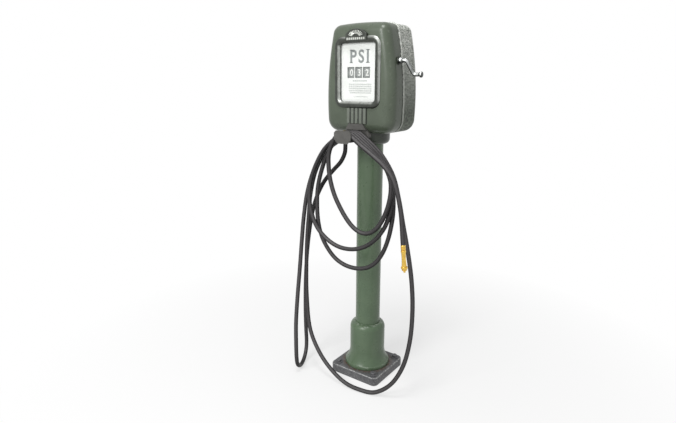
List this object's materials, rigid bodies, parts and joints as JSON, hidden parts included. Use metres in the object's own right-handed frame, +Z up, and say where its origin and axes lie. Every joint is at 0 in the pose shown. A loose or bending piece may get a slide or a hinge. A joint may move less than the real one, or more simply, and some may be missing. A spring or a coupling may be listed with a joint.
{
  "type": "tyre inflator pedestal",
  "caption": "Pedestal tyre inflator: cast head on a pipe column with a crank-set number counter behind a framed window, a regulator inside, and a rubber air hose looped over a front hook.",
  "frame": {"origin": "middle of the base plate's underside, on the floor", "axes": "+Z up the column, -Y out of the window front, +X to the crank side"},
  "size_m": [0.4825, 0.3029, 1.243],
  "materials": {
    "green_enamel": "semi-gloss, worn",
    "column_enamel": "semi-gloss",
    "dark_enamel": "satin",
    "plate_steel": "dull, worn edges",
    "bright_steel": "bright",
    "gunmetal": "rubbed",
    "hook_iron": "satin",
    "brass": "polished",
    "black_rubber": "satin",
    "white_enamel": "gloss",
    "clear_glass": "clear",
    "drum_grey": "matt"
  },
  "bodies": {
    "pedestal": {"front_cover": "green_enamel", "rear_housing": "green_enamel", "rib_apron": "green_enamel", "column_tube": "column_enamel", "foot_casting": "column_enamel", "neck_collar": "dark_enamel", "base_plate": "plate_steel", "anchor_bolt_1": "plate_steel", "anchor_bolt_2": "plate_steel", "anchor_bolt_3": "plate_steel", "anchor_bolt_4": "plate_steel", "supply_pipe": "plate_steel", "foot_screw_1": "bright_steel", "foot_screw_2": "bright_steel", "foot_screw_3": "bright_steel", "neck_bolt_1": "bright_steel", "neck_bolt_2": "bright_steel", "neck_bolt_3": "bright_steel", "cover_bolt_1": "bright_steel", "cover_bolt_2": "bright_steel", "cover_bolt_3": "bright_steel", "cover_bolt_4": "bright_steel", "hook_bolt_1": "bright_steel", "hook_bolt_2": "bright_steel", "counter_frame": "bright_steel", "drum_axle": "bright_steel", "regulator_spring": "bright_steel", "window_bezel": "gunmetal", "badge_block": "gunmetal", "crank_bushing": "gunmetal", "regulator_bonnet": "gunmetal", "regulator_body": "gunmetal", "hose_hook": "hook_iron", "hose_gland": "brass", "chuck_ferrule": "brass", "chuck_body": "brass", "outlet_pipe": "brass", "air_hose": "black_rubber", "hose_sleeve": "black_rubber", "cover_gasket": "black_rubber", "glazing_gasket": "black_rubber", "diaphragm": "black_rubber", "face_plate": "white_enamel", "window_glass": "clear_glass"},
    "crank": {"crank_shaft": "bright_steel", "crank_hub": "bright_steel", "crank_rod": "bright_steel", "crank_knob": "bright_steel", "crank_gear": "brass"},
    "units_counter": {"units_drum": "drum_grey", "drum_gear": "brass"},
    "tens_counter": {"tens_drum": "drum_grey"},
    "hundreds_counter": {"hundreds_drum": "drum_grey"},
    "regulator_screw": {"adjusting_screw": "bright_steel", "screw_gear": "brass"},
    "regulator_nut": {"spring_nut": "brass"},
    "chuck_valve": {"chuck_pin": "brass"}
  },
  "joints": [
    {"name": "crank_turn", "type": "hinge", "parent": "pedestal", "child": "crank", "pos_m": [0, -0.04, 1.123], "axis": [1, 0, 0], "range_deg": [-1152, 1188]},
    {"name": "units_turn", "type": "hinge", "parent": "pedestal", "child": "units_counter", "pos_m": [0, -0.02064, 1.088], "axis": [1, 0, 0], "range_deg": [-1190, 1154]},
    {"name": "tens_turn", "type": "hinge", "parent": "pedestal", "child": "tens_counter", "pos_m": [0, -0.02064, 1.088], "axis": [1, 0, 0], "range_deg": [-119.8, 116.2]},
    {"name": "hundreds_turn", "type": "hinge", "parent": "pedestal", "child": "hundreds_counter", "pos_m": [0, -0.02064, 1.088], "axis": [1, 0, 0], "range_deg": [-12.38, 12.02]},
    {"name": "screw_turn", "type": "hinge", "parent": "pedestal", "child": "regulator_screw", "pos_m": [0, 0.00336, 1.01589], "axis": [1, 0, 0], "range_deg": [-412.43, 425.29]},
    {"name": "nut_slide", "type": "slide", "parent": "pedestal", "child": "regulator_nut", "axis": [1, 0, 0], "range_m": [-0.00599, 0.00581], "deforming": ["regulator_spring"]},
    {"name": "chuck_press", "type": "slide", "parent": "pedestal", "child": "chuck_valve", "axis": [-0.0977, 0, 0.9952], "range_m": [0, 0.004], "stiffness_N_per_m": 400, "springref_m": -0.002}
  ],
  "couplings": [
    {"joint": "units_turn", "follows": "crank_turn", "ratio": -1},
    {"joint": "tens_turn", "follows": "crank_turn", "ratio": -0.1},
    {"joint": "hundreds_turn", "follows": "crank_turn", "ratio": -0.01},
    {"joint": "screw_turn", "follows": "crank_turn", "ratio": 0.35714},
    {"joint": "nut_slide", "follows": "crank_turn", "m_per_rad": -0.0002842}
  ]
}
